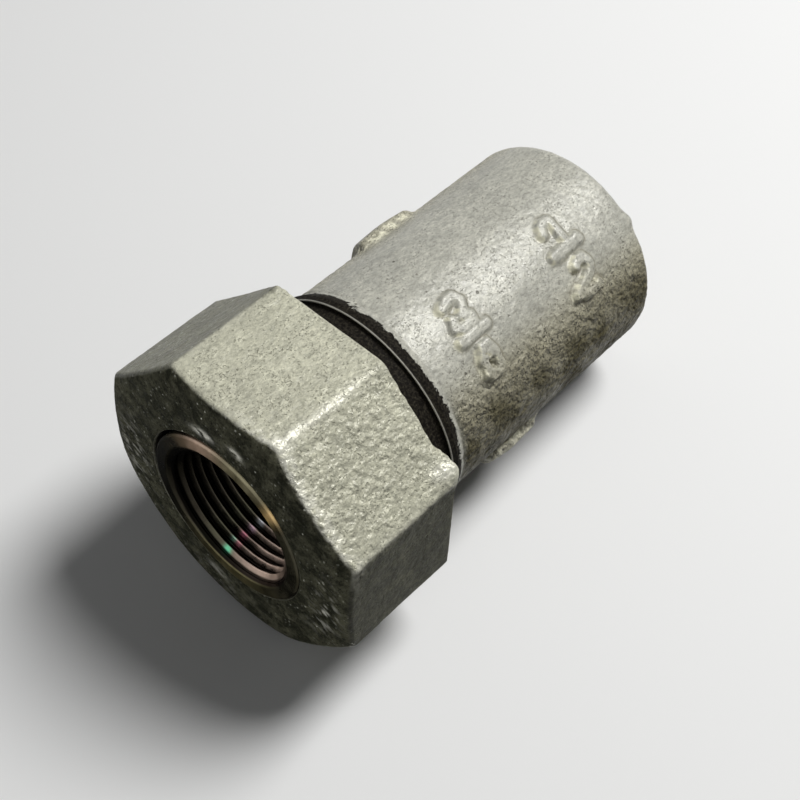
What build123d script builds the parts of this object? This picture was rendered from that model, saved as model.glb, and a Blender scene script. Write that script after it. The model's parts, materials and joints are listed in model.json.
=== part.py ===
from build123d import *
import math
import os

os.makedirs("parts", exist_ok=True)

# Sizes are in millimetres. Every piece is drawn with x along the fitting's axis, from the
# nut's front face at zero to the far end. A turn round the axis is measured in degrees from
# the top, towards the side that carries the size marks.

# Union nut, an octagon with a thin front wall and an open threaded back
nut_across_flats = 54.0
nut_length = 24.2
nut_wall = 5.0
nut_side = 5.97            # of metal between a flat and the threaded bore
nut_ledge = 4.43           # how far the front wall reaches in from the bore
nut_hole_bevel = 0.4
nut_face_fall = 0.55       # the front face leans back by this much towards its edge
nut_front_bevel = 2.1      # length of the turned front bevel at the corners
nut_rear_bevel = 0.4

# Union thread on the body, plain here at its outer radius, with the nut's bore round it
thread_bevel = 1.2
thread_gap = 0.08          # running gap between the body's thread and the nut's bore

# Tail piece, held by the nut's front wall
tail_proud = 0.2           # how far its ring stands out of the nut's front
tail_gap = 0.35            # round its ring, inside the nut's hole
tail_ring_wall = 4.19      # leaves the small radius of the 3/4 pipe thread, 12.06
tail_mouth_bevel = 1.84
tail_mouth_depth = 1.6
tail_flange_play = 1.83    # between the flange and the nut's bore, where the nut's thread runs
tail_flange_length = 9.4
seat_gap = 0.05            # along the axis, at the flange's two faces

# Flat gasket between the tail piece and the body
gasket_thickness = 2.0
gasket_hole_play = 1.14    # its hole is this much wider than the tail piece's

# Adapter body, one casting
body_length = 68.9
body_r = 20.6
body_edge = 2.4
neck_thread_length = 11.9
neck_relief_depth = 0.65   # below the thread's outer radius
neck_relief_length = 2.1
neck_land_height = 0.3     # above the thread's outer radius
neck_land_length = 1.3
neck_fall_length = 2.4     # from the land's crest down to the cast cylinder
chamber_wall = 4.8
chamber_depth = 50.5
outlet_wall = 11.285       # leaves the small radius of the 1/2 pipe thread, 9.315
outlet_mouth_bevel = 1.685
outlet_mouth_depth = 1.4
shoulder_slope = 30.0      # of the chamber's end, from the plane across the axis

# Two short grip ribs on the casting, opposite each other
rib_length = 14.5
rib_width = 7.0
rib_top_length = 9.5
rib_top_width = 3.2
rib_height = 1.8
rib_places = [(38.2, -56.0), (33.6, 124.0)]    # distance from the body's end face, and turn

# Raised size marks on the casting
mark_height = 0.6
mark_stroke = 1.7
mark_turn = 34.5
three_quarters_at = 27.9   # from the body's end face
half_at = 52.9

# What follows from those sizes
nut_apothem = nut_across_flats / 2
nut_corner_r = nut_apothem / math.cos(math.pi / 8)
nut_thread_r = nut_apothem - nut_side
nut_hole_r = nut_thread_r - nut_ledge
thread_r = nut_thread_r - thread_gap
tail_ring_r = nut_hole_r - tail_gap
tail_bore_r = tail_ring_r - tail_ring_wall
tail_mouth_r = tail_bore_r + tail_mouth_bevel
tail_flange_r = nut_thread_r - tail_flange_play
gasket_inner_r = tail_bore_r + gasket_hole_play
gasket_outer_r = tail_flange_r
neck_relief_r = thread_r - neck_relief_depth
neck_land_r = thread_r + neck_land_height
chamber_r = body_r - chamber_wall
outlet_bore_r = body_r - outlet_wall
outlet_mouth_r = outlet_bore_r + outlet_mouth_bevel
flange_x = nut_wall + seat_gap
gasket_x = flange_x + tail_flange_length + seat_gap
body_x = gasket_x + gasket_thickness
far_x = body_x + body_length

# Strokes of the marks: points are (along the axis from the mark's middle, degrees of turn)
three = [(-1.8, 18.0), (-0.3, 16.2), (1.4, 16.2), (2.0, 19.4), (1.2, 23.4), (0.2, 25.6),
         (1.6, 27.4), (1.3, 30.6), (-1.2, 30.8), (-2.4, 28.2), (-1.7, 25.2)]
four_loop = [(1.1, 41.4), (-0.5, 41.4), (-1.5, 47.6), (-1.7, 52.6), (-0.5, 56.0), (0.9, 56.0),
             (1.8, 52.4), (1.6, 46.6), (1.1, 41.4)]
four_middle = [(0.3, 42.0), (0.2, 46.6)]
three_quarters_bar = [(-3.4, 35.4), (3.3, 34.8)]
one = [(-2.3, 20.6), (-1.6, 17.2), (-0.3, 15.8), (0.6, 16.4), (0.7, 27.0)]
half_bar = [(-3.6, 31.8), (3.1, 31.4)]
two = [(-0.9, 41.0), (0.3, 39.2), (1.4, 39.6), (2.1, 42.4), (1.8, 46.0), (0.5, 48.8),
       (-1.5, 50.8), (-3.0, 53.0), (-0.8, 55.4), (1.2, 55.4), (2.2, 54.8)]


def turned(points, rounds=()):
    """A ring turned from an outline of (x, radius) points. rounds holds (point, radius) pairs."""
    face = make_face(Polyline(*points, close=True))
    for point, radius in rounds:
        corner = face.vertices().sort_by_distance((point[0], point[1], 0))[0]
        face = fillet(corner, radius)
    return revolve(face, Axis.X)


def radial_plane(x, turn, radius):
    """A plane that faces straight out of the axis at a station, with its first axis along x."""
    angle = math.radians(turn)
    out = (0, -math.sin(angle), math.cos(angle))
    return Plane(origin=(x, 0, 0), x_dir=(1, 0, 0), z_dir=out).offset(radius)


def make_nut():
    edge_r = nut_apothem - 0.2
    front_slope = (nut_corner_r - edge_r) / (nut_front_bevel - nut_face_fall)
    tip_r = nut_corner_r + 0.5
    outline = [
        (nut_hole_bevel, nut_hole_r),
        (0, nut_hole_r + nut_hole_bevel),
        (nut_face_fall, edge_r),
        (nut_face_fall + (tip_r - edge_r) / front_slope, tip_r),
        (nut_length - nut_rear_bevel, tip_r),
        (nut_length, nut_corner_r - 2 * nut_rear_bevel),
        (nut_length, nut_thread_r + 0.8),
        (nut_length - 0.8, nut_thread_r),
        (nut_wall, nut_thread_r),
        (nut_wall, nut_hole_r),
    ]
    corners = []
    for i in range(8):
        angle = math.pi / 8 + i * math.pi / 4
        corners.append((nut_corner_r * math.cos(angle), nut_corner_r * math.sin(angle)))
    across = Plane(origin=(-1, 0, 0), x_dir=(0, 1, 0), z_dir=(1, 0, 0))
    bar = extrude(across * make_face(Polyline(*corners, close=True)), nut_length + 2)
    return bar & turned(outline)


def make_tail_piece():
    back_x = flange_x + tail_flange_length
    outline = [
        (-tail_proud, tail_mouth_r),
        (-tail_proud, tail_ring_r - 0.3),
        (-tail_proud + 0.3, tail_ring_r),
        (flange_x, tail_ring_r),
        (flange_x, tail_flange_r - 0.3),
        (flange_x + 0.3, tail_flange_r),
        (back_x, tail_flange_r),
        (back_x, tail_bore_r + 1.0),
        (back_x - 1.0, tail_bore_r),
        (-tail_proud + tail_mouth_depth, tail_bore_r),
    ]
    return turned(outline)


def make_gasket():
    outline = [
        (gasket_x, gasket_inner_r),
        (gasket_x, gasket_outer_r),
        (body_x, gasket_outer_r),
        (body_x, gasket_inner_r),
    ]
    return turned(outline)


def make_rib(x, turn):
    """A low rib that narrows upwards, started inside the casting so that it joins all round."""
    sections = []
    for part, lift in ((0.0, -0.8), (0.75, rib_height - 0.45), (1.0, rib_height)):
        narrow = part if part < 1 else 1.12
        length = rib_length - narrow * (rib_length - rib_top_length)
        width = rib_width - narrow * (rib_width - rib_top_width)
        place = radial_plane(x, turn, body_r + lift)
        sections.append(place * RectangleRounded(length, width, 0.46 * width))
    return loft(sections, ruled=True)


def stroke(points, width):
    """Rounded strokes through points of (along the axis, turn), laid flat on the mark's plane."""
    flat = [(x, -body_r * math.sin(math.radians(turn - mark_turn))) for x, turn in points]
    shape = Sketch()
    for start, end in zip(flat, flat[1:]):
        run = math.dist(start, end)
        middle = Pos((start[0] + end[0]) / 2, (start[1] + end[1]) / 2)
        lean = Rot(0, 0, math.degrees(math.atan2(end[1] - start[1], end[0] - start[0])))
        shape += middle * lean * SlotCenterToCenter(run, width)
    return shape


def make_mark(x, strokes):
    """A raised mark: the strokes pushed in from outside and cut off at the mark's height."""
    shape = Sketch()
    for points, width in strokes:
        shape += stroke(points, width)
    place = radial_plane(x, mark_turn, body_r - 2.6)
    pushed = extrude(place * shape, 6.0)
    reach = 2 * body_r
    shell = Rot(0, 90, 0) * Cylinder(body_r + mark_height, reach)
    core = Rot(0, 90, 0) * Cylinder(body_r - 0.5, reach)
    return pushed & (Pos(x, 0, 0) * (shell - core))


def make_body():
    relief_x = body_x + neck_thread_length
    land_x = relief_x + neck_relief_length
    fall_x = land_x + neck_land_length
    cast_x = fall_x + neck_fall_length
    shoulder_x = body_x + chamber_depth
    drop = (chamber_r - outlet_bore_r) * math.tan(math.radians(shoulder_slope))
    outline = [
        (body_x, chamber_r),
        (body_x, thread_r - thread_bevel),
        (body_x + thread_bevel, thread_r),
        (relief_x, thread_r),
        (relief_x + 0.4, neck_relief_r),
        (land_x, neck_relief_r),
        (land_x, neck_land_r),
        (fall_x, neck_land_r + 0.25),
        (cast_x, body_r),
        (far_x, body_r),
        (far_x, outlet_mouth_r),
        (far_x - outlet_mouth_depth, outlet_bore_r),
        (shoulder_x + drop, outlet_bore_r),
        (shoulder_x, chamber_r),
    ]
    body = turned(outline, [((far_x, body_r), body_edge)])
    for x, turn in rib_places:
        body += make_rib(body_x + x, turn)
    body += make_mark(body_x + three_quarters_at, [
        (three, mark_stroke), (four_loop, mark_stroke), (four_middle, mark_stroke),
        (three_quarters_bar, mark_stroke)])
    body += make_mark(body_x + half_at, [
        (one, mark_stroke), (two, mark_stroke), (half_bar, 1.25 * mark_stroke)])
    return body


def rest_tilt():
    """Degrees that the far end drops by when the fitting lies on a level floor.

    It is heavier beyond the nut, so it tips until the nut's rear lower edge and the rounded
    lower edge of the far end both touch.
    """
    run = far_x - body_edge - nut_length
    rise = nut_apothem - (body_r - body_edge)
    return math.degrees(math.atan2(rise, run) - math.asin(body_edge / math.hypot(run, rise)))


pieces = {
    "adapter_body": make_body(),
    "union_nut": make_nut(),
    "tail_piece": make_tail_piece(),
    "gasket": make_gasket(),
}
tilted = {name: Rot(0, rest_tilt(), 0) * piece for name, piece in pieces.items()}
box = Compound(children=[Part() + piece for piece in tilted.values()]).bounding_box()
to_floor = Pos(-box.center().X, -box.center().Y, -box.min.Z)
for name, piece in tilted.items():
    export_step(to_floor * piece, f"parts/{name}.step")
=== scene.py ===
import json
import math

import bpy
import numpy as np
from mathutils import Matrix, Vector


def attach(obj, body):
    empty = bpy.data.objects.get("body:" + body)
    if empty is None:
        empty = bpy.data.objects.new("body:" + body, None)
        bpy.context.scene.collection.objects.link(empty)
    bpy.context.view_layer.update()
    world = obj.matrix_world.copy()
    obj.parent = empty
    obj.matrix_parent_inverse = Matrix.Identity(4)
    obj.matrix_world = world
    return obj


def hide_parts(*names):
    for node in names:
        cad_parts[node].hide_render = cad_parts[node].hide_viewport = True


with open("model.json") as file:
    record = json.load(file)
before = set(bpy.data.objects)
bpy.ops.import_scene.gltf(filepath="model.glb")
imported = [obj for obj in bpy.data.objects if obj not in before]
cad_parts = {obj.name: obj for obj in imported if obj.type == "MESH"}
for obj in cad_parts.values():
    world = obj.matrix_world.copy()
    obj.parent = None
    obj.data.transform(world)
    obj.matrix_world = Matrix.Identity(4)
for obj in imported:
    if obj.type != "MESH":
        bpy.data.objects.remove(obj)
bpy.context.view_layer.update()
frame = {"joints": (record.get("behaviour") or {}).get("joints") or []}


# Adapter body: one malleable-iron casting, turned and threaded at the nut's end, and dipped in
# zinc from the neck to the far end. It carries two short grip ribs, raised size numbers on the
# side that faces up, and a female pipe thread in the far end. Sizes are in millimetres.

body_x = 16.6            # its end face, measured from the nut's front along the fitting's axis
neck_thread_end = 28.5
land_x = 30.6
zinc_x = 31.8
cast_x = 34.3
inlet_mark_x = 44.5      # middles of the 3/4 and the 1/2
outlet_mark_x = 69.5
upper_rib = (54.6, -56)  # middles of the grip ribs: along the axis, and degrees of turn
lower_rib = (50.2, 123)
chamber_end = 67.1
outlet_x = 70.2          # where the 1/2 pipe thread begins, inside
far_x = 85.25
cast_r = 20.45
neck_start_r = 19.7
neck_relief_r = 20.3
land_r = 21.05
zinc_r = 21.35
far_edge_r = 2.4
chamber_r = 15.8
outlet_mouth_r = 11.1
outlet_crest_r = 9.32
union_pitch = 2.309
union_root_r = 19.4
union_crest_r = 20.9
pipe_pitch = 1.814       # 14 turns to the inch, at both ends of the fitting
pipe_thread_depth = 1.16
outlet_root_r = outlet_crest_r + pipe_thread_depth
nut_joint_x = 14.6       # where the nut's joint lies

nut_turn = next(joint for joint in frame["joints"] if joint["name"] == "nut_turn")
along = -Vector(nut_turn["axis"])
sideways = Vector((0, 1, 0))
upward = along.cross(sideways)
to_marks = -np.array(sideways)
nut_front = Vector(nut_turn["pos_m"]) - along * nut_joint_x / 1000


def outwards(turn):
    """Direction out of the axis: the cosine of the turn upwards, its sine towards the marks."""
    return np.cos(turn)[..., None] * np.array(upward) + np.sin(turn)[..., None] * to_marks


def placed(x, radius, turn):
    """Points in the frame, in metres, from x along the fitting, radius and turn, in mm and radians:
    the nut's front centre, plus x along the axis, plus the radius outwards."""
    x, radius, turn = np.broadcast_arrays(x, radius, turn)
    steps = x[..., None] * np.array(along) + radius[..., None] * outwards(turn)
    return np.array(nut_front) + steps / 1000


def spots_at(x, radius, turn):
    """Places in mm round the fitting's own axis, at which noise is looked up."""
    return np.stack((x, radius * np.cos(turn), radius * np.sin(turn)), axis=-1)


def turned_from(turn, degrees):
    """Signed turn in radians from a direction in degrees, taken the short way round."""
    return (turn - math.radians(degrees) + math.pi) % (2 * math.pi) - math.pi


def soft_noise(points, cell, seed):
    """Smooth noise from -1 to 1: random values on a cubic lattice, eased from corner to corner."""
    lattice = np.random.default_rng(seed).uniform(-1, 1, (32, 32, 32))
    skew = np.array(((0.80, 0.48, -0.36), (-0.60, 0.64, -0.48), (0.0, 0.60, 0.80)))
    place = points @ skew.T / cell + 100.5
    low = np.floor(place).astype(int)
    ease = place - low
    ease = ease**3 * (ease * (ease * 6 - 15) + 10)
    total = np.zeros(points.shape[:-1])
    for corner in np.ndindex(2, 2, 2):
        share = np.prod(np.where(np.array(corner) == 1, ease, 1 - ease), axis=-1)
        total += share * lattice[tuple(np.moveaxis((low + corner) % 32, -1, 0))]
    return total


def eased(low, high, value):
    """0 below low, 1 above high, and a smooth step between."""
    t = np.clip((value - low) / (high - low), 0, 1)
    return t * t * (3 - 2 * t)


def eased_turn(low, high, turn):
    """The same smooth step over a turn in radians, between two turns in degrees."""
    return eased(math.radians(low), math.radians(high), turn)


def hump(away, width):
    """A bell curve: 1 at its middle, and 0.37 at its width."""
    return np.exp(-((away / width) ** 2))


def drawn_profile(*runs):
    """Rows of (x, radius) along straight runs, each given as (x, radius, rows up to the next)."""
    rows = []
    for (x0, r0, count), (x1, r1, _) in zip(runs, runs[1:]):
        t = np.arange(count)[:, None] / count
        rows.append(np.array((x0, r0)) * (1 - t) + np.array((x1, r1)) * t)
    return np.concatenate(rows)


def profile_normals(rows):
    """Unit normals of a closed outline: its direction at each row, turned a quarter turn."""
    step = np.roll(rows, -1, axis=0) - np.roll(rows, 1, axis=0)
    normal = np.stack((-step[:, 1], step[:, 0]), axis=1)
    return normal / np.linalg.norm(normal, axis=1, keepdims=True)


def turns_over(*zones):
    """Turns round the axis, in radians, over zones of (first degree, last degree, step)."""
    spans = []
    for first, last, step in zones:
        count = round((last - first) / step)
        spans.append(first + (last - first) * np.arange(count) / count)
    return np.radians(np.concatenate(spans))


def spun(rows, turns):
    """The x, radius and turn at each point of an outline that is carried round the axis."""
    x, turn = np.meshgrid(rows[:, 0], turns, indexing="ij")
    return x, np.repeat(rows[:, 1:], len(turns), axis=1), turn


def vee_thread(turns_along):
    """A screw thread's height from 0 at its root to 1 at its crest: a triangle wave over each
    turn, cut flat at both ends."""
    wave = 1 - np.abs(2 * (turns_along % 1.0) - 1)
    return np.clip((wave - 0.08) / 0.84, 0, 1)


def closed_grid(name, points, **attributes):
    """A mesh from a grid of points that closes on itself both ways, like a ring with a section.

    Each cell of the grid is a face. The faces are turned over if the volume inside them, summed
    as pyramids from the middle of the points, comes out negative.
    """
    rows, columns = points.shape[:2]
    index = np.arange(rows * columns).reshape(rows, columns)
    right, below = np.roll(index, -1, axis=1), np.roll(index, -1, axis=0)
    corner = np.roll(right, -1, axis=0)
    faces = np.stack((index, right, corner, below), axis=-1).reshape(-1, 4)
    flat = points.reshape(-1, 3)
    a, b, c, d = (flat[faces[:, i]] - flat.mean(0) for i in range(4))
    if (np.cross(a, b) * c).sum() + (np.cross(a, c) * d).sum() < 0:
        faces = faces[:, ::-1]
    mesh = bpy.data.meshes.new(name)
    mesh.vertices.add(len(flat))
    mesh.vertices.foreach_set("co", flat.astype(np.float32).ravel())
    mesh.loops.add(faces.size)
    mesh.loops.foreach_set("vertex_index", faces.astype(np.int32).ravel())
    mesh.polygons.add(len(faces))
    mesh.polygons.foreach_set("loop_start", np.arange(0, faces.size, 4, dtype=np.int32))
    mesh.polygons.foreach_set("use_smooth", np.ones(len(faces), bool))
    mesh.update(calc_edges=True)
    for label, values in attributes.items():
        if values.ndim == 3:
            colour = np.concatenate((values, np.ones_like(values[..., :1])), axis=-1)
            layer = mesh.attributes.new(label, "FLOAT_COLOR", "POINT")
            layer.data.foreach_set("color", colour.ravel())
        else:
            layer = mesh.attributes.new(label, "FLOAT", "POINT")
            layer.data.foreach_set("value", values.ravel())
    piece = bpy.data.objects.new(name, mesh)
    bpy.context.scene.collection.objects.link(piece)
    return piece


def stroke_distance(x, y, points):
    """Distance in mm from each place to the nearest part of a line through the points."""
    nearest = np.full(x.shape, 1e9)
    for (x0, y0), (x1, y1) in zip(points, points[1:]):
        dx, dy = x1 - x0, y1 - y0
        t = np.clip(((x - x0) * dx + (y - y0) * dy) / (dx * dx + dy * dy), 0, 1)
        nearest = np.minimum(nearest, np.hypot(x - x0 - t * dx, y - y0 - t * dy))
    return nearest


def on_lower_numbers(turn):
    """1 over the marks' second numbers, which stand prouder and are ringed all round with more painted shade,
    and 0 above.
    """
    return eased_turn(38, 43, turn)


def raised_marks(x, turn, points):
    """Height of the cast size numbers, and the grime and painted shade round them: each stroke is a
    round-shouldered ridge, whose height falls off over its last millimetre, on a surface that wavers a
    little, with a dark band just outside it and in its pinholes. Strokes are (along the axis from the
    mark's middle, degrees of turn), after middle and half a width."""
    waver = 0.16
    across = cast_r * turn + waver * soft_noise(points, 1.1, 41)
    place = x + waver * soft_noise(points, 1.1, 42)
    height = np.zeros(x.shape)
    dirt = np.zeros(x.shape)
    marks = (
        (inlet_mark_x, 1.02, [(-1.8, 18.0), (-0.3, 16.2), (1.4, 16.2), (2.0, 19.4), (1.2, 23.4), (0.2, 25.6),
                              (1.6, 27.4), (1.3, 30.6), (-1.2, 30.8), (-2.4, 28.2), (-1.7, 25.2)]),
        (inlet_mark_x, 1.00, [(1.0, 41.8), (-0.4, 41.8), (-1.4, 47.6), (-1.6, 52.6), (-0.5, 55.6),
                              (0.8, 55.6), (1.6, 52.4), (1.5, 46.6), (1.0, 41.8)]),
        (inlet_mark_x, 0.85, [(0.3, 42.0), (0.2, 46.6)]),
        (inlet_mark_x, 1.02, [(-3.0, 35.4), (3.1, 34.8)]),
        (outlet_mark_x, 0.98, [(-2.3, 20.6), (-1.6, 17.2), (-0.3, 15.8), (0.6, 16.4), (0.7, 27.0)]),
        (outlet_mark_x, 1.16, [(-3.4, 31.8), (3.0, 31.4)]),
        (outlet_mark_x, 1.00, [(-0.9, 41.0), (0.3, 39.2), (1.4, 39.6), (2.1, 42.4), (1.8, 46.0), (0.5, 48.8),
                               (-1.5, 50.8), (-3.0, 53.0), (-0.8, 55.4), (1.2, 55.4), (2.2, 54.8)]),
    )
    for middle, half_width, line in marks:
        spots = [(middle + px, cast_r * math.radians(degrees)) for px, degrees in line]
        distance = stroke_distance(place, across, spots)
        height = np.maximum(height, 0.80 * eased(half_width + 0.42, half_width - 0.50, distance))
        dirt = np.maximum(dirt, hump(distance - half_width - 0.36, 0.30))
    for px, degrees, size in ((44.4, 51.0, 0.30), (44.0, 45.4, 0.17), (44.5, 46.8, 0.20), (68.0, 43.4, 0.30)):
        pinhole = hump(np.hypot(x - px, cast_r * (turn - math.radians(degrees))), size)
        height -= 0.6 * pinhole
        dirt = np.maximum(dirt, 2.2 * pinhole)
    height *= 1 + 0.32 * on_lower_numbers(turn)
    return height, np.where(height < 0.45, dirt, 0)


def grip_rib(x, turn, middle_x, middle_degrees, side, points):
    """A rib's height: 1.7 mm over a narrow rounded rectangle, sloping away over 1.9 mm all round,
    with lumps of zinc on its slopes, and the share of the lumps gathered along its one side."""
    half_length = 5.0
    half_width = 1.5
    across = cast_r * turned_from(turn, middle_degrees)
    over_x = np.maximum(np.abs(x - middle_x) - half_length, 0)
    over_y = np.maximum(np.abs(across) - half_width, 0)
    away = np.hypot(over_x, over_y)
    crown = 1 - 0.16 * ((x - middle_x) / half_length) ** 2
    slope = eased(1.9, 0.1, away) * np.clip(crown, 0.4, 1)
    beads = hump(away - 1.4, 0.7) * (0.55 + 0.75 * soft_noise(points, 0.9, 51))
    gathered = hump(away - 1.5, 0.75) * eased(0.2, 1.2, across * side)
    gathered = gathered * eased(-0.3, 0.3, soft_noise(points, 0.8, 52))
    return 1.74 * slope + 0.36 * beads + 0.25 * gathered, gathered


def beside_marks(x):
    """Whether a row crosses one of the two marks, where the rows lie closer together."""
    return 40.0 < x < 49.0 or 64.2 < x < 74.6


# The outline, from the chamber out over the neck and the sleeve to the far end, and back inside
end_rows = 4
neck_rows = 44
outside = drawn_profile(
    (body_x, chamber_r, end_rows),
    (body_x, neck_start_r, neck_rows),
    (neck_thread_end, union_crest_r, 3),
    (neck_thread_end + 0.35, neck_relief_r, 6),
    (land_x - 0.05, neck_relief_r, 4),
    (land_x, land_r, 1),
    (land_x + 0.08, land_r + 0.13, 7),
    (zinc_x, zinc_r, 1),
    (zinc_x, zinc_r, 0),
)
fall = np.linspace(0, 1, 12, endpoint=False)[:, None]
shoulder_r = zinc_r - 0.1 + (cast_r - zinc_r) * eased(0, 1, fall)
shoulder = np.hstack((zinc_x + (cast_x - zinc_x) * fall, shoulder_r))
cast_rows = [cast_x]
while cast_rows[-1] < far_x - far_edge_r - 0.3:
    cast_rows.append(cast_rows[-1] + (0.235 if beside_marks(cast_rows[-1]) else 0.50))
sleeve = np.stack((np.array(cast_rows), np.full(len(cast_rows), cast_r)), axis=1)
bend = np.radians(np.arange(1, 10) * 10)
rounded = np.stack((far_x - far_edge_r + far_edge_r * np.sin(bend),
                    cast_r - far_edge_r + far_edge_r * np.cos(bend)), axis=1)
inside = drawn_profile(
    (far_x, cast_r - far_edge_r, 11),
    (far_x, outlet_mouth_r, 3),
    (far_x - 1.2, outlet_root_r, 57),
    (outlet_x + 0.5, outlet_root_r, 3),
    (outlet_x, outlet_crest_r, 5),
    (chamber_end, chamber_r, 9),
    (body_x, chamber_r, 0),
)
rows = np.concatenate((outside, shoulder, sleeve, rounded, inside))
normals = profile_normals(rows)
turns = turns_over((7, 63, 0.65), (63, 108, 1.0), (108, 140, 0.9), (140, 290, 2.2), (290, 322, 0.9),
                    (322, 367, 1.5))
x, radius, turn = spun(rows, turns)
row_x, row_r = rows[:, :1], rows[:, 1:]
number = np.arange(len(rows))[:, None]
sleeve_end = len(outside) + len(shoulder) + len(sleeve)
on_neck = (number >= end_rows) & (number < end_rows + neck_rows)
on_outlet = (np.abs(row_r - outlet_root_r) < 0.05) & (row_x > outlet_x + 0.4)
is_outside = (number >= end_rows) & (number < sleeve_end + len(rounded) + 10)
on_sleeve = eased(cast_x - 1, cast_x + 1, x) * (number < sleeve_end + 4)

# The threads: the union thread runs out before the neck, and the outlet's starts in a bevel
fading = eased(neck_thread_end - 0.1, 23.0, x)
root = 1 - vee_thread(x / union_pitch - turn / (2 * math.pi))
ridge = union_crest_r - (union_crest_r - union_root_r) * fading * root
radius = np.where(on_neck, np.minimum(ridge, neck_start_r + (x - body_x)), radius)
groove = outlet_crest_r + pipe_thread_depth * vee_thread(x / pipe_pitch + turn / (2 * math.pi))
radius = np.where(on_outlet, np.maximum(groove, outlet_mouth_r - 0.9 * (far_x - x)), radius)
spot = spots_at(x, radius, turn)

# The zinc: it starts at a ragged line, and is lumpier and more pitted low down
back_side = eased_turn(5, 50, np.abs(turned_from(turn, -50)))
ragged = zinc_x + 0.75 + 0.6 * (1 - back_side)
ragged = ragged + 0.50 * soft_noise(spot, 1.7, 1) + 0.45 * soft_noise(spot, 0.6, 2)
zinc = eased(-0.25, 0.75, x - ragged) * is_outside
low_side = eased(0.78, 0.30, np.cos(turn - math.radians(6)))
marked_side = 1 - 0.65 * eased_turn(195, 225, turn % (2 * math.pi))
low_turn = np.abs(turned_from(turn, 4))    # from nearly the top, down either side
peel = 0.035 * soft_noise(spot, 1.7, 3) + 0.050 * soft_noise(spot, 0.85, 4) * (0.35 + 1.5 * low_side)
peel += 0.06 * soft_noise(spot, 6.0, 5)
pits = np.minimum(soft_noise(spot, 0.95, 6) + 0.40, 0) * (0.10 + 0.22 * low_side)
lift = zinc * (0.12 + peel + pits)

# What stands on the sleeve: the marks, the ribs, a drop at the far end and a run by the 1/2
marks, mark_dirt = raised_marks(x, turn, spot)
mark_slope = np.gradient(marks, axis=0) / np.maximum(np.gradient(x, axis=0), 0.05)
upper_height, upper_lumps = grip_rib(x, turn, *upper_rib, 1, spot)
lower_height, lower_lumps = grip_rib(x, turn, *lower_rib, -1, spot)
# Bright colour round the ribs: drained zinc gathered along one side, partly painted highlight, and painted
# highlight on the lower rib's crest
rib_lumps = upper_lumps + 1.2 * lower_lumps + 0.7 * eased(0.8, 1.5, lower_height)
drop = hump(x - 84.3, 0.9) * hump((turn - math.radians(40.5)) * cast_r, 1.5)
run = hump(x - 75.6, 1.6) * hump((turn - math.radians(37)) * cast_r, 0.9)
lift = lift + on_sleeve * (marks + upper_height + lower_height) + (0.62 * drop + 0.16 * run) * is_outside
lift = np.where(row_r < outlet_mouth_r + 0.1, 0, lift)

# Its stains and painted light: grime and painted shade round the marks, darkest on their far slopes and
# # all round the lower numbers; drained zinc and painted highlight on their near slopes, round the ribs and
# # on the lower rib's crest; and an olive film down the marked side, partly painted shade towards the
# underside
far_slopes = 0.15 + 0.85 * eased(0.25, -0.25, mark_slope)
near_slopes = on_sleeve * eased(0.08, 0.6, mark_slope) * eased(-0.45, 0.25, soft_noise(spot, 0.9, 18))
aged = on_sleeve * marked_side * eased_turn(32, 78, low_turn) * (0.75 + 0.25 * soft_noise(spot, 4.0, 8))
adapter = closed_grid(
    "adapter_body_cast",
    placed(x + lift * normals[:, :1], radius + lift * normals[:, 1:], turn),
    zinc=zinc,
    rim=hump(x - land_x - 0.06, 0.10) * is_outside * (radius > union_crest_r),
    dirt=mark_dirt * on_sleeve * np.maximum(far_slopes, 0.85 * on_lower_numbers(turn)),
    drained=np.clip(near_slopes + rib_lumps, 0, 1),
    warm=aged * (1 - 0.9 * np.clip(lower_height, 0, 1)),
    coarse=on_sleeve * eased_turn(36, 62, low_turn),
    cut=1.0 * (row_r < outlet_mouth_r + 0.05) * (row_x > outlet_x + 0.1) + 0 * x,
)


def fed(tree, socket, value):
    """Joins a value to a socket, or sets it there if it is a plain one."""
    if isinstance(value, bpy.types.NodeSocket):
        tree.links.new(value, socket)
    else:
        socket.default_value = value


def wired(tree, kind, inputs=None, **settings):
    """Adds a shader node, sets its own settings, and feeds its inputs by name or number."""
    made = tree.nodes.new(kind)
    for key, value in settings.items():
        setattr(made, key, value)
    for key, value in (inputs or {}).items():
        fed(tree, made.inputs[key], value)
    return made


def blended(tree, share, first, second):
    """The colour that lies between two colours by a share from 0 to 1."""
    return wired(tree, "ShaderNodeMix", {0: share, 6: first, 7: second}, data_type="RGBA").outputs[2]


def scaled(tree, colour, share):
    """A colour made darker or lighter by a value."""
    return wired(tree, "ShaderNodeVectorMath", {0: colour, "Scale": share}, operation="SCALE").outputs[0]


def ranged(tree, value, low, high, to_low=0.0, to_high=1.0):
    """A value stretched from one range to another, and held inside it."""
    return wired(tree, "ShaderNodeMapRange", {0: value, 1: low, 2: high, 3: to_low, 4: to_high}).outputs[0]


def sums(tree, operation, first, *others):
    """Arithmetic of one kind on two or more values, from the first to the last."""
    for other in others:
        first = wired(tree, "ShaderNodeMath", {0: first, 1: other}, operation=operation).outputs[0]
    return first


def object_place(tree):
    """The place on the piece, in metres."""
    return wired(tree, "ShaderNodeTexCoord").outputs["Object"]


def noise_of(tree, vector, scale, detail, roughness=0.6):
    """Soft noise of a number of cells a metre, with smaller and smaller layers over it."""
    return wired(tree, "ShaderNodeTexNoise", {"Vector": vector, "Scale": scale, "Detail": detail,
                                              "Roughness": roughness}).outputs[0]


def cells_of(tree, vector, scale):
    """The distance to the nearest of a number of scattered spots a metre, and its random shares."""
    made = wired(tree, "ShaderNodeTexVoronoi", {"Vector": vector, "Scale": scale, "Randomness": 1})
    shares = wired(tree, "ShaderNodeSeparateColor", {0: made.outputs["Color"]}).outputs
    return made.outputs["Distance"], shares


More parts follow.
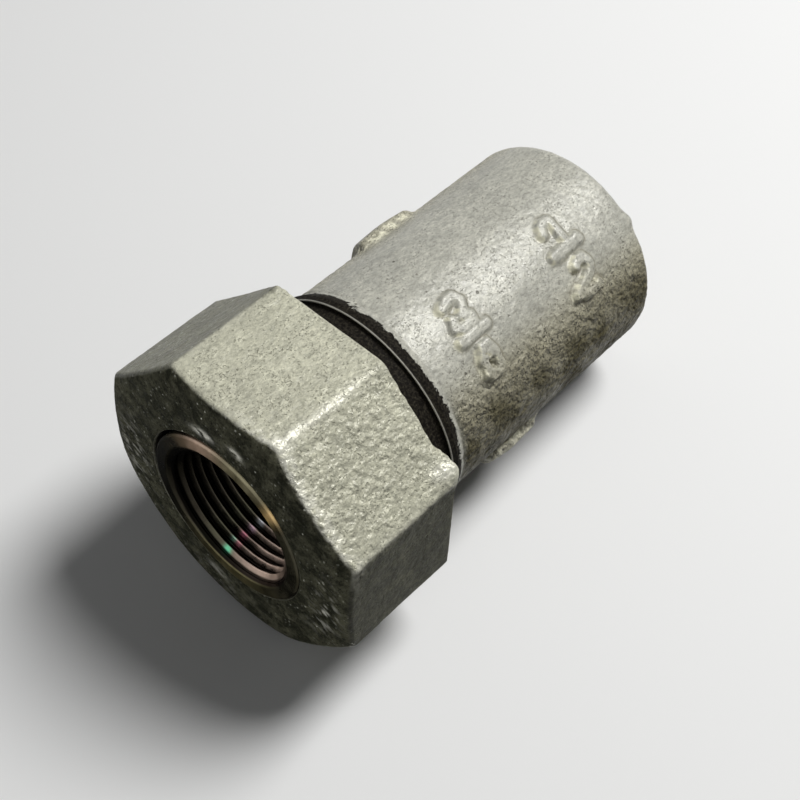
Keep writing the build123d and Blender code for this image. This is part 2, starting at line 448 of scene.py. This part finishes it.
def bumped(tree, height, distance):
    """The normal of a surface whose height goes up and down by a distance in metres."""
    return wired(tree, "ShaderNodeBump", {"Height": height, "Distance": distance, "Strength": 1.0}).outputs[0]


# Hot-dip zinc, shared by the body and the nut: a warm grey skin with cloudy patches, streaks and
# a fine grain, lumps like orange peel, small dark pits and a few bright flecks.
zinc_skin = bpy.data.node_groups.new("zinc skin", "ShaderNodeTree")
for label, kind, value in (
    ("Tone", "NodeSocketColor", (0.5, 0.5, 0.45, 1)),
    ("Pit Tone", "NodeSocketColor", (0.10, 0.10, 0.08, 1)),
    ("Fleck Tone", "NodeSocketColor", (0.8, 0.8, 0.75, 1)),
    ("Pits", "NodeSocketFloat", 0.5),
    ("Flecks", "NodeSocketFloat", 0.3),
    ("Coarse", "NodeSocketFloat", 0.0),
):
    zinc_skin.interface.new_socket(label, in_out="INPUT", socket_type=kind).default_value = value
for label, kind in (
    ("Color", "NodeSocketColor"),
    ("Roughness", "NodeSocketFloat"),
    ("Height", "NodeSocketFloat"),
    ("Fleck", "NodeSocketFloat"),
):
    zinc_skin.interface.new_socket(label, in_out="OUTPUT", socket_type=kind)
tree = zinc_skin
given = wired(tree, "NodeGroupInput").outputs
coarse = given["Coarse"]
where = object_place(tree)
grainwise = wired(tree, "ShaderNodeMapping", {"Vector": where, "Rotation": (0, 0, math.radians(47)),
                                              "Scale": (0.5, 1.0, 0.8)}).outputs[0]
clouds = noise_of(tree, where, 150, 6, 0.7)
grain = noise_of(tree, grainwise, 1900, 5, 0.8)
streaks = noise_of(tree, grainwise, 700, 4, 0.7)
lumps = noise_of(tree, where, 760, 2, 0.5)
pit_noise = noise_of(tree, where, 2600, 2, 0.6)
pit_patches = ranged(tree, noise_of(tree, where, 300, 4, 0.7), 0.35, 0.65, 0.08, -0.06)
pit = ranged(tree, sums(tree, "ADD", pit_noise, pit_patches), 0.41, 0.31)
hole_away, hole_shares = cells_of(tree, where, 620)
hole = sums(tree, "MULTIPLY", ranged(tree, hole_away, 0.20, 0.10), ranged(tree, hole_shares[0], 0.93, 0.98))
fleck_away, fleck_shares = cells_of(tree, where, 1250)
fleck = sums(tree, "MULTIPLY", ranged(tree, fleck_away, 0.34, 0.12),
             ranged(tree, fleck_shares[1], 0.62, 0.90), ranged(tree, grain, 0.44, 0.57))
grain_shade = ranged(tree, grain, 0.33, 0.67, ranged(tree, coarse, 0, 1, 0.62, 0.66),
                     ranged(tree, coarse, 0, 1, 1.28, 1.26))
shade = sums(tree, "MULTIPLY", ranged(tree, clouds, 0.3, 0.7, 0.80, 1.16), grain_shade,
             ranged(tree, streaks, 0.3, 0.7, 0.88, 1.10))
darks = sums(tree, "MAXIMUM", sums(tree, "MULTIPLY", pit, given["Pits"]), hole)
colour = blended(tree, darks, scaled(tree, given["Tone"], shade), given["Pit Tone"])
colour = blended(tree, sums(tree, "MULTIPLY", fleck, given["Flecks"]), colour, given["Fleck Tone"])
height = sums(tree, "MULTIPLY", lumps, ranged(tree, coarse, 0, 1, 0.8, 2.9))
height = sums(tree, "ADD", height, sums(tree, "MULTIPLY", grain, 0.30))
height = sums(tree, "SUBTRACT", height, sums(tree, "MULTIPLY", darks, 0.5))
roughness = ranged(tree, streaks, 0.3, 0.7, 0.28, 0.44)
wired(tree, "NodeGroupOutput", {"Color": colour, "Roughness": roughness, "Height": height, "Fleck": fleck})


def new_material(name):
    """An empty node material and its node tree."""
    material = bpy.data.materials.new(name)
    material.use_nodes = True
    return material, material.node_tree


def skin_of(tree, **values):
    """The zinc skin placed in a material, with that material's own values."""
    inputs = {label.replace("_", " "): value for label, value in values.items()}
    return wired(tree, "ShaderNodeGroup", inputs, node_tree=zinc_skin).outputs


def joined(tree, **values):
    """Feeds the surface shader's sockets."""
    surface = tree.nodes["Principled BSDF"]
    for label, value in values.items():
        fed(tree, surface.inputs[label.replace("_", " ")], value)


def masked(tree, label):
    """A value stored on the mesh."""
    return wired(tree, "ShaderNodeAttribute", attribute_name=label).outputs["Fac"]


material, tree = new_material("zinc_on_cast_iron")
coarse, warm, rim, cut = (masked(tree, label) for label in ("coarse", "warm", "rim", "cut"))
tone = blended(tree, coarse, (0.455, 0.447, 0.382, 1), (0.475, 0.446, 0.325, 1))
skin = skin_of(tree, Tone=tone, Pit_Tone=(0.10, 0.095, 0.07, 1), Flecks=0.12, Coarse=coarse,
               Pits=ranged(tree, coarse, 0, 1, 0.55, 1.0))
speckle = noise_of(tree, object_place(tree), 2400, 3, 0.7)
bare = blended(tree, ranged(tree, speckle, 0.45, 0.72), (0.005, 0.004, 0.003, 1), (0.042, 0.037, 0.027, 1))
bare = blended(tree, cut, bare, (0.27, 0.25, 0.21, 1))
bare = blended(tree, sums(tree, "MULTIPLY", rim, 0.9), bare, (0.62, 0.60, 0.53, 1))
# an olive film down the marked side, partly patina and partly painted shade towards the underside
olive = wired(tree, "ShaderNodeVectorMath", {0: skin["Color"], 1: (0.22, 0.205, 0.145)}, operation="MULTIPLY")
colour = blended(tree, warm, skin["Color"], olive.outputs[0])
# grime round the marks, with painted shade on their far slopes and round the lower numbers
colour = blended(tree, sums(tree, "MULTIPLY", masked(tree, "dirt"), 0.6), colour, (0.12, 0.105, 0.06, 1))
# drained zinc on the marks' near slopes and round the ribs, partly painted highlight
colour = blended(tree, sums(tree, "MULTIPLY", masked(tree, "drained"), 0.85), colour, (0.84, 0.81, 0.62, 1))
coated = masked(tree, "zinc")
edge_noise = sums(tree, "ADD", coated, ranged(tree, speckle, 0.3, 0.7, -0.45, 0.45))
coated = sums(tree, "MULTIPLY", ranged(tree, edge_noise, 0.35, 0.65), ranged(tree, coated, 0.0, 0.12))
relief = ranged(tree, coated, 0, 1, 0.25, ranged(tree, coarse, 0, 1, 0.6, 1.6))
turned_metal = sums(tree, "MULTIPLY", sums(tree, "ADD", rim, cut), 0.6)
clean_zinc = sums(tree, "MULTIPLY", coated, ranged(tree, warm, 0, 0.6, 0.06, 0))
joined(
    tree,
    Base_Color=blended(tree, coated, bare, colour),
    Normal=bumped(tree, sums(tree, "MULTIPLY", skin["Height"], relief), 0.00032),
    Roughness=sums(tree, "ADD", skin["Roughness"], ranged(tree, coated, 0, 1, 0.30, 0.0)),
    Metallic=sums(tree, "ADD", turned_metal, clean_zinc),
    Specular_IOR_Level=sums(tree, "MULTIPLY", ranged(tree, warm, 0, 0.8, 0.5, 0.02),
                            ranged(tree, coated, 0, 1, 0.1, 1.0)),
)
adapter.data.materials.append(material)
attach(adapter, "adapter")
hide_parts("adapter_body")


# Union nut: an octagonal casting, dipped in zinc. Its front is turned to a shallow cone round
# the hole, which scallops the flats' front edges, and a drop of zinc has set on one rear corner.
# Inside are the front wall that holds the tail piece, and the union thread.

nut_length = 24.2
nut_rear = nut_length - 0.05
nut_half = 26.85         # from the axis to a flat
nut_corner_r = 29.0      # nearly, where the drops of zinc hang
nut_ridge_r = 28.6       # nearly, where the ridges are worn
nut_hole_r = 16.6
nut_wall = 5.0
nut_bore_r = 19.6
nut_mouth_r = 21.75
nut_thread_gap = 0.13    # outside the body's thread
nut_cone_fall = 0.45     # of the front's cone, from the hole's edge out
nut_cone_width = 9.4
nut_bevel_r = 25.4       # where the turned bevel begins
soften = 0.75            # rounding of the flats' front and rear edges
rear_fall = 0.55
flat_turns = np.radians(np.arange(0, 360, 45))


def octagon_radius(turn):
    """Distance to the octagon's edge: the flats' distance over the longest of the cosines to the
    eight flats, taken as a high power mean, which rounds the corners by about a millimetre."""
    cosines = np.maximum(np.cos(turn[..., None] - flat_turns), 0)
    return nut_half / (cosines**150).sum(-1) ** (1 / 150)


def front_face(radius):
    """How far the front lies behind the hole's edge: a shallow cone, then a turned bevel."""
    cone = nut_cone_fall * np.clip((radius - nut_hole_r) / nut_cone_width, 0, 1) ** 1.4
    return cone + 0.20 * np.maximum(radius - nut_bevel_r, 0) ** 1.55


def strip(count):
    """A share for each row of a strip, from 0 up to the next strip's first row."""
    return np.linspace(0, 1, count + 1)[:-1, None]


near_corner = np.array((-2.6, -1.9, -1.3, -0.8, -0.4, 0, 0.4, 0.8, 1.3, 1.9, 2.6))
along_flat = 3.4 + np.arange(0, 38.4, 0.94)
corners = 22.5 + 45 * np.arange(8)
steps = [corner + part for corner in corners for part in (near_corner, along_flat)]
turns = np.radians(np.sort(np.concatenate(steps)))
edge = octagon_radius(turns)
inner_edge = edge - soften
front_x = front_face(edge)

# Its section, strip by strip round the outside and back through the hole, as x and radius
strips = {}
t = strip(5)
strips["rear"] = (nut_rear + 0 * edge + 0 * t, nut_mouth_r + (inner_edge - nut_mouth_r) * t)
t = strip(4)
strips["rear edge"] = (nut_rear - rear_fall * t**2 + 0 * edge, inner_edge + soften * (2 * t - t**2))
t = strip(51)
strips["flats"] = (nut_rear - rear_fall + (front_x + soften - nut_rear + rear_fall) * t, edge + 0 * t)
t = strip(8)
strips["front edge"] = (front_x + soften * (1 - t) ** 2 + (front_face(inner_edge) - front_x) * t**2,
                        edge - soften * t**2)
face_r = inner_edge + (nut_hole_r + 0.4 - inner_edge) * strip(24)
strips["front"] = (front_face(face_r), face_r)
for name, x0, r0, x1, r1, count in (
    ("hole bevel", 0, nut_hole_r + 0.4, 0.12, nut_hole_r + 0.1, 3),
    ("hole edge", 0.12, nut_hole_r + 0.1, 0.5, nut_hole_r, 3),
    ("hole", 0.5, nut_hole_r, nut_wall - 0.1, nut_hole_r, 8),
    ("wall", nut_wall - 0.1, nut_hole_r, nut_wall, nut_bore_r, 5),
    ("thread", nut_wall, nut_bore_r, nut_length - 0.2, nut_bore_r, 84),
    ("mouth", nut_length - 0.2, nut_mouth_r, nut_rear, nut_mouth_r, 1),
):
    t = strip(count)
    strips[name] = (x0 + (x1 - x0) * t + 0 * edge, r0 + (r1 - r0) * t + 0 * edge)
x = np.concatenate([part_x for part_x, part_r in strips.values()])
radius = np.concatenate([part_r for part_x, part_r in strips.values()])
first_row = dict(zip(strips, np.cumsum([0] + [len(part_x) for part_x, part_r in strips.values()])))
number = np.arange(len(x))[:, None]
turn = np.broadcast_to(turns, x.shape)
threaded = (number >= first_row["thread"]) & (number < first_row["mouth"])
crest = (union_crest_r - union_root_r) * vee_thread(x / union_pitch - turn / (2 * math.pi))
female = np.maximum(union_root_r + nut_thread_gap + crest, nut_mouth_r - 1.2 * (nut_length - x))
radius = np.where(threaded, female, radius)
spot = spots_at(x, radius, turn)
skin_rows = number < first_row["hole bevel"]
on_front = (number >= first_row["front edge"] + 3) & (number < first_row["hole bevel"] + 3)
from_top = turned_from(turn, 0)

# The zinc's own shape: lumpy on the flat by the marks, with a big drop and a blister on one of
# its rear corners and a few small lumps on the other
marked_flat = np.exp(-((turned_from(turn, 45) / 0.42) ** 4))
peel = (0.025 + 0.085 * marked_flat) * soft_noise(spot, 1.25, 11)
peel += (0.025 + 0.030 * marked_flat) * soft_noise(spot, 0.75, 12)
peel += 0.07 * soft_noise(spot, 8.0, 13)


def at_corner(middle_x, middle_degrees, deep, wide):
    """A soft-edged spot near the octagon's corners."""
    return hump(x - middle_x, deep) * hump((from_top - math.radians(middle_degrees)) * nut_corner_r, wide)


big_drop = at_corner(22.6, 62.6, 2.1, 2.2)
blister = at_corner(23.9, 57.4, 0.8, 0.9)
dimple = at_corner(23.9, 57.4, 0.4, 0.45)
small_lumps = 0.30 * soft_noise(spot, 1.1, 21) + 0.30 * np.minimum(soft_noise(spot, 0.7, 22), 0)
lift = skin_rows * (peel - 0.04 + at_corner(22.3, -20.5, 2.2, 2.4) * small_lumps)
dx = np.gradient(x, axis=0)
dr = np.gradient(radius, axis=0)
step_length = np.maximum(np.hypot(dx, dr), 1e-6)
pushed_x = 1.9 * big_drop * eased(19, 23.6, x) + 0.7 * blister - 0.5 * dimple
pushed_r = 1.30 * big_drop + 0.35 * blister - 0.3 * dimple
new_x = x + lift * dr / step_length + skin_rows * pushed_x
new_r = radius - lift * dx / step_length + skin_rows * pushed_r

# Its stains and painted light: a dark film on the front, darkened further as painted shade, with pale smears;
# # painted shade on two side flats and the underside; and bright ridges, partly worn zinc and partly painted
# # highlight, with painted highlights on the drop and painted glints along the front edge
combed = np.stack((x * 0, radius * np.cos(turn) * 0.9 + radius * np.sin(turn) * 0.5,
                   radius * np.sin(turn) * 0.28 - radius * np.cos(turn) * 0.5), axis=-1)
front_streaks = soft_noise(combed, 0.55, 14)


def patch(middle_degrees, middle_r, wide, deep):
    """A soft-edged patch on the nut's front face."""
    return hump(turned_from(turn, middle_degrees) * middle_r, wide) * hump(radius - middle_r, deep)


def on_flat(low, high):
    """1 between two turns in degrees, inside the corners there."""
    return eased_turn(low - 1, low + 1, from_top) * eased_turn(high + 1, high - 1, from_top)


smears = patch(350, 18.9, 2.2, 0.8) + 0.85 * patch(11, 20.4, 1.5, 0.8) + 0.6 * patch(190, 19.8, 2.0, 0.9)
smears = 1.6 * np.clip(smears, 0, 1) * eased(-0.8, 0.1, front_streaks)
rough_patch = 0.9 * patch(100, 22.5, 7, 2.6) + 0.8 * patch(262, 22.5, 8, 3.0)
rough_patch = rough_patch + 0.35 * patch(190, 22.5, 9, 3.0)
rough_patch = np.clip(rough_patch, 0, 1) * eased(0.15, 0.6, front_streaks)
# Painted shade: on the flat at -45 degrees and, darker, on the flat at 90, and lighter over the whole
# underside
dull_sides = 0.66 * on_flat(-67.5, -22.5) + 0.85 * on_flat(67.5, 112.5)
dull_sides = dull_sides + 0.40 * eased_turn(111.5, 113.5, np.abs(from_top))
along_ridge = (0.75 + 0.45 * soft_noise(spot, 1.6, 16)) * eased(23.5, 15, x) * (number < first_row["front"])
# Bright ridges: partly worn zinc and partly painted highlight, strongest on the ridge that faces the lamp,
# with painted highlights on the drop and painted glints along the front edge by the marked flat
shine = 0.8 * big_drop
for ridge_degrees, share in ((22.5, 1.0), (-22.5, 0.25), (-67.5, 0.3), (67.5, 0.35)):
    shine = shine + share * hump((from_top - math.radians(ridge_degrees)) * nut_ridge_r, 0.75)
front_rim = hump(radius - edge + 0.25, 0.35) * eased(2.4, 1.4, x - front_x) * (x > 0.3)
near_marked_flat = np.exp(-(((from_top - math.radians(40)) / 0.55) ** 4))
glints = 1.4 * near_marked_flat * front_rim * eased(0.0, 0.7, soft_noise(spot, 0.7, 17) + 0.45)
shine = along_ridge * shine + glints + 1.5 * at_corner(22.0, 61.0, 1.3, 1.1)
nut = closed_grid(
    "union_nut_cast",
    placed(new_x, new_r, turn),
    film=on_front * eased(edge - 0.15, edge - 0.75, radius + 0.15 * soft_noise(spot, 1.0, 15)),
    smear=on_front * np.clip(smears + rough_patch, 0, 1),
    dull=dull_sides * skin_rows,
    shine=np.clip(shine, 0, 1) * skin_rows,
    coarse=marked_flat * skin_rows,
    zinc=1.0 * (number < first_row["hole"]) + 0 * x,
)
material, tree = new_material("zinc_on_nut")
film, smear, shine = (masked(tree, label) for label in ("film", "smear", "shine"))
skin = skin_of(tree, Tone=(0.52, 0.51, 0.39, 1), Pit_Tone=(0.20, 0.195, 0.135, 1), Pits=0.65, Flecks=0.18,
               Coarse=masked(tree, "coarse"))
# The front film's tones: a real dark film, made darker still as painted shade
film_dark = blended(tree, film, (0.038, 0.039, 0.025, 1), (0.080, 0.082, 0.053, 1))
film_pale = blended(tree, film, (0.14, 0.138, 0.098, 1), (0.42, 0.41, 0.28, 1))
film_clouds = noise_of(tree, object_place(tree), 330, 5, 0.7)
film_tone = blended(tree, ranged(tree, film_clouds, 0.42, 0.66), film_dark, film_pale)
dull = skin_of(tree, Tone=film_tone, Pit_Tone=(0.02, 0.02, 0.013, 1), Pits=0.8, Flecks=1.0,
               Fleck_Tone=(0.80, 0.80, 0.70, 1))
# the dark skin goes on the front's film and on the painted shade of the side flats and underside
dulled = sums(tree, "MAXIMUM", film, masked(tree, "dull"))
colour = blended(tree, dulled, skin["Color"], dull["Color"])
colour = blended(tree, smear, colour, (0.86, 0.84, 0.75, 1))
# painted highlight, partly worn zinc, on the ridges, the drop and the front edge
colour = blended(tree, sums(tree, "MULTIPLY", shine, 0.55), colour, (0.84, 0.82, 0.71, 1))
bright = sums(tree, "ADD", sums(tree, "MULTIPLY", dull["Fleck"], ranged(tree, dulled, 0.4, 0.8, 0.0, 0.75)),
              sums(tree, "MULTIPLY", smear, 0.62), ranged(tree, dulled, 0, 0.3, 0.06, 0),
              sums(tree, "MULTIPLY", shine, 0.22))
joined(
    tree,
    Base_Color=blended(tree, masked(tree, "zinc"), (0.06, 0.055, 0.045, 1), colour),
    Normal=bumped(tree, skin["Height"], 0.00030),
    Roughness=sums(tree, "ADD", skin["Roughness"], ranged(tree, film, 0, 1, 0.0, 0.22)),
    Metallic=sums(tree, "MINIMUM", bright, 0.9),
    Specular_IOR_Level=ranged(tree, dulled, 0, 0.8, 0.5, 0.02),
)
nut.data.materials.append(material)
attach(nut, "nut")
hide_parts("union_nut")


# Tail piece: turned from iron and yellow-passivated, which leaves it brown and gold; painted
# # highlights in pink and green, and painted shade, are laid over these colours. Its ring sits a little
# # to one side in the nut's hole, its mouth is bevelled, a 3/4 pipe thread runs right through, and its
# # flange hides behind the nut's wall.

tail_face = -0.15
tail_back = 14.4
tail_thread_end = 13.4
tail_crest_r = 12.06
mouth_r = 13.9
ring_r = 16.22
flange_x = 5.1
flange_r = 19.1
thread_rows = 122
flange_rows = 16         # from the thread's end to the flange's rim
rows = drawn_profile(
    (tail_face, mouth_r, thread_rows),
    (tail_thread_end, tail_crest_r, 4),
    (tail_back, 13.0, 8),
    (tail_back, flange_r, 12),
    (flange_x + 0.2, flange_r, 2),
    (flange_x, flange_r - 0.2, 4),
    (flange_x, ring_r, 9),
    (tail_face + 0.25, ring_r, 4),
    (tail_face, ring_r - 0.25, 12),
    (tail_face, mouth_r, 0),
)
x, radius, turn = spun(rows, turns_over((0, 360, 1.25)))
number = np.arange(len(rows))[:, None]
in_thread = number < thread_rows
is_outer = number > thread_rows + flange_rows
thread_turns = x / pipe_pitch - turn / (2 * math.pi) + 0.60
thread = tail_crest_r + pipe_thread_depth * vee_thread(thread_turns)
mouth = mouth_r - 1.6 * (x - tail_face)
radius = np.where(in_thread, np.maximum(np.maximum(thread, mouth), tail_crest_r), radius)
tool_lines = 0.012 * np.sin(radius * 21) * is_outer * (x < 0)
aside = 0.33 / 1000 * outwards(np.radians(112))
points = placed(x + tool_lines, radius, turn) + aside


def tint_zone(middle, half_width):
    """A soft-edged share of the turn, 1 in its middle, from two values in degrees."""
    return hump(np.degrees(turned_from(turn, middle)), half_width)


def layered(base, *coats):
    """Colours laid over each other, each by its own share."""
    result = np.broadcast_to(np.array(base, float), turn.shape + (3,)).copy()
    for share, colour in coats:
        share = np.clip(share, 0, 1)[..., None]
        result = result * (1 - share) + np.array(colour) * share
    return result


# The colours on the ring, in the bore and on the mouth's bevel: passivation tints, with painted highlights
# # (a pink and a gold patch on the ring, pale bands low in the bore and a coloured glint on each thread turn)
# # and painted shade (the ring's and the bore's dark sides, and the dark bevel)
ring_tint = layered(
    (0.075, 0.070, 0.048),
    (tint_zone(347, 19), (0.66, 0.47, 0.36)),
    (tint_zone(14, 22), (0.30, 0.27, 0.17)),
    (tint_zone(43, 6), (0.75, 0.52, 0.24)),
    (tint_zone(120, 42), (0.060, 0.056, 0.040)),
    (tint_zone(180, 34), (0.24, 0.21, 0.11)),
    (tint_zone(270, 46), (0.028, 0.026, 0.019)),
)
bore_tint = layered(
    (0.10, 0.085, 0.062),
    (tint_zone(140, 44), (0.84, 0.63, 0.51)),
    (tint_zone(205, 14), (0.16, 0.15, 0.10)),
    (tint_zone(292, 82), (0.012, 0.011, 0.008)),
    *((1.3 * tint_zone(glint_turn, 3.2) * hump(x - glint_x, 0.6), glint_colour)
      for glint_x, glint_turn, glint_colour in (
          (1.15, 189, (0.25, 0.85, 0.50)),
          (2.95, 190.5, (0.45, 0.85, 0.60)),
          (2.95, 186.5, (0.85, 0.35, 0.38)),
          (4.70, 189, (0.95, 0.30, 0.42)),
          (6.55, 189, (0.95, 0.62, 0.72)),
          (8.40, 188, (0.90, 0.90, 0.92)),
      )),
)
bevel_tint = layered(
    (0.035, 0.032, 0.022),
    (tint_zone(150, 40), (0.13, 0.115, 0.065)),
    (tint_zone(200, 24), (0.20, 0.18, 0.09)),
)
# Painted shadow: each flank dark where the crest before it shades it; the bore also darkens deeper in as
# painted shade
within = thread_turns % 1.0
outer_flank = np.maximum(eased(0.63, 0.71, within), eased(0.08, 0.03, within))
grooves = np.where(in_thread & (x > -0.05), 0.06 + 0.94 * outer_flank, 1.0)
bore_tint = bore_tint * grooves[..., None] * (1 - 0.9 * eased(9.5, 13.0, x))[..., None]
bevel = eased(0.05, -0.05, x)[..., None]
bore_tint = bore_tint * (1 - bevel) + bevel_tint * bevel
on_ring = (is_outer | (x < 0.8)) & ~(in_thread & (x > 0))
tail = closed_grid("tail_piece_turned", points, tint=np.where(on_ring[..., None], ring_tint, bore_tint))
material, tree = new_material("passivated_iron")
where = object_place(tree)
mottle = noise_of(tree, where, 420, 4)
tint = wired(tree, "ShaderNodeAttribute", attribute_name="tint").outputs["Color"]
joined(
    tree,
    Base_Color=scaled(tree, tint, ranged(tree, mottle, 0.3, 0.7, 0.72, 1.22)),
    Normal=bumped(tree, noise_of(tree, where, 2200, 3, 0.5), 0.00002),
    Roughness=ranged(tree, mottle, 0.3, 0.7, 0.26, 0.42),
    Metallic=0.8,
    Specular_Tint=(0.25, 0.24, 0.21, 1),
    Specular_IOR_Level=0.15,
)
tail.data.materials.append(material)
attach(tail, "tail")
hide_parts("tail_piece")


# Gasket: a flat ring of black rubbered fibre, pressed between the tail piece's flange and the
# body's end. It is hidden while the union is made up, and its edge bulges a little.

gasket_x = 14.55
gasket_end = 16.55
gasket_hole_r = 13.3
gasket_r = 19.0
rows = drawn_profile(
    (gasket_x, gasket_hole_r, 10),
    (gasket_x, gasket_r, 5),
    (gasket_end, gasket_r, 10),
    (gasket_end, gasket_hole_r, 5),
    (gasket_x, gasket_hole_r, 0),
)
x, radius, turn = spun(rows, turns_over((0, 360, 3)))
through = np.clip((x - gasket_x) / (gasket_end - gasket_x), 0, 1)
bulge = 0.12 * np.sin(math.pi * through) * np.sign(radius - 16)
gasket = closed_grid("gasket_ring", placed(x, radius + bulge, turn))
material, tree = new_material("rubbered_fibre")
fibre = noise_of(tree, object_place(tree), 1600, 4, 0.5)
joined(
    tree,
    Base_Color=blended(tree, fibre, (0.012, 0.012, 0.012, 1), (0.035, 0.033, 0.030, 1)),
    Normal=bumped(tree, fibre, 0.00005),
    Roughness=ranged(tree, fibre, 0.3, 0.7, 0.6, 0.8),
)
gasket.data.materials.append(material)
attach(gasket, "adapter")
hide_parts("gasket")


# Floor: a plain pale sheet that runs out to the horizon. The camera and reflections see it
# pale, also far from the lamps, and it throws little light back up.


def seen_directly(tree):
    """1 for rays from the camera and for those that come by a reflection or through glass."""
    rays = wired(tree, "ShaderNodeLightPath").outputs
    return sums(tree, "MAXIMUM", rays["Is Camera Ray"], rays["Is Glossy Ray"], rays["Is Transmission Ray"])


floor_mesh = bpy.data.meshes.new("floor")
floor_mesh.from_pydata([(-3, -3, 0), (3, -3, 0), (3, 3, 0), (-3, 3, 0)], [], [(0, 1, 2, 3)])
floor = bpy.data.objects.new("floor", floor_mesh)
bpy.context.scene.collection.objects.link(floor)
material, tree = new_material("pale_floor")
seen = seen_directly(tree)
away = wired(tree, "ShaderNodeVectorMath", {0: object_place(tree)}, operation="LENGTH").outputs["Value"]
joined(
    tree,
    Base_Color=blended(tree, seen, (0.09, 0.09, 0.085, 1), (0.86, 0.86, 0.85, 1)),
    Emission_Color=(0.96, 0.98, 1.0, 1),
    Emission_Strength=sums(tree, "MULTIPLY", seen, ranged(tree, away, 0.30, 1.9, 0.0, 0.74)),
    Roughness=0.9,
    Specular_IOR_Level=0.1,
)
floor.data.materials.append(material)


# Light: one soft lamp above and beyond the far end, a weak one from the camera's side, and an
# even pale world.

middle = Vector((0, 0, 0.025))
for name, towards, distance, width, power in (
    ("key", (0.50, -0.20, 0.845), 0.80, 0.34, 6.6),
    ("fill", (-0.45, -0.30, 0.84), 1.10, 0.60, 0.4),
):
    lamp = bpy.data.lights.new(name, "AREA")
    lamp.shape = "DISK"
    lamp.size = width
    lamp.energy = power
    holder = bpy.data.objects.new(name, lamp)
    holder.location = middle + Vector(towards).normalized() * distance
    holder.rotation_euler = (middle - holder.location).to_track_quat("-Z", "Y").to_euler()
    bpy.context.scene.collection.objects.link(holder)
world = bpy.data.worlds.new("plain")
world.use_nodes = True
tree = world.node_tree
background = tree.nodes["Background"]
background.inputs["Color"].default_value = (0.96, 0.98, 1.0, 1)
fed(tree, background.inputs["Strength"], ranged(tree, seen_directly(tree), 0, 1, 0.075, 0.85))
bpy.context.scene.world = world
bpy.context.scene.view_settings.view_transform = "Standard"


# Camera: where the photograph's stood, worked out from the nut's edges and hole: its place and
# directions are given along the axis, to the left and upwards of the lying fitting.

sensor = bpy.data.cameras.new("camera")
sensor.lens = 65.5
sensor.sensor_width = 36
sensor.clip_start = 0.01
camera = bpy.data.objects.new("camera", sensor)
camera_place = nut_front + (along * -80.3 + sideways * -102.5 + upward * 191.9) / 1000
camera_right = along * 0.6764 + sideways * -0.7357 + upward * 0.0345
camera_up = along * 0.5615 + sideways * 0.5454 + upward * 0.6223
directions = Matrix((camera_right, camera_up, camera_right.cross(camera_up))).transposed()
camera.matrix_world = Matrix.Translation(camera_place) @ directions.to_4x4()
bpy.context.scene.collection.objects.link(camera)
bpy.context.scene.camera = camera
